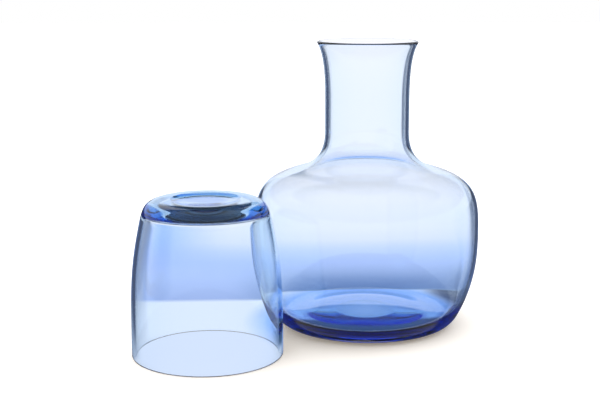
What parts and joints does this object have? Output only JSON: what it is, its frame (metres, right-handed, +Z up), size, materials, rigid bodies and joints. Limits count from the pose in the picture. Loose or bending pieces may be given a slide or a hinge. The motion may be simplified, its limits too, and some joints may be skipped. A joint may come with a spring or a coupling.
{
  "type": "carafe with tumbler",
  "caption": "Blue blown-glass water carafe with a flared neck and rounded belly, and the straight-sided tumbler that caps its neck standing mouth down beside it.",
  "frame": {"origin": "on the table, under the middle of the pair's footprint", "axes": "+X from the tumbler's side to the carafe's side, +Y away from the viewer, +Z up"},
  "size_m": [0.2128, 0.1804, 0.18],
  "materials": {
    "carafe_glass": "clear blue blown glass, fire-polished lip, ground pontil",
    "tumbler_glass": "clear blue blown glass, polished rim, ground pontil"
  },
  "bodies": {
    "carafe": {"carafe": "carafe_glass"},
    "tumbler": {"tumbler": "tumbler_glass"}
  },
  "joints": [
    {"name": "tumbler_lift", "type": "slide", "parent": "carafe", "child": "tumbler", "axis": [0, 0, 1], "range_m": [0, 0.2]}
  ]
}
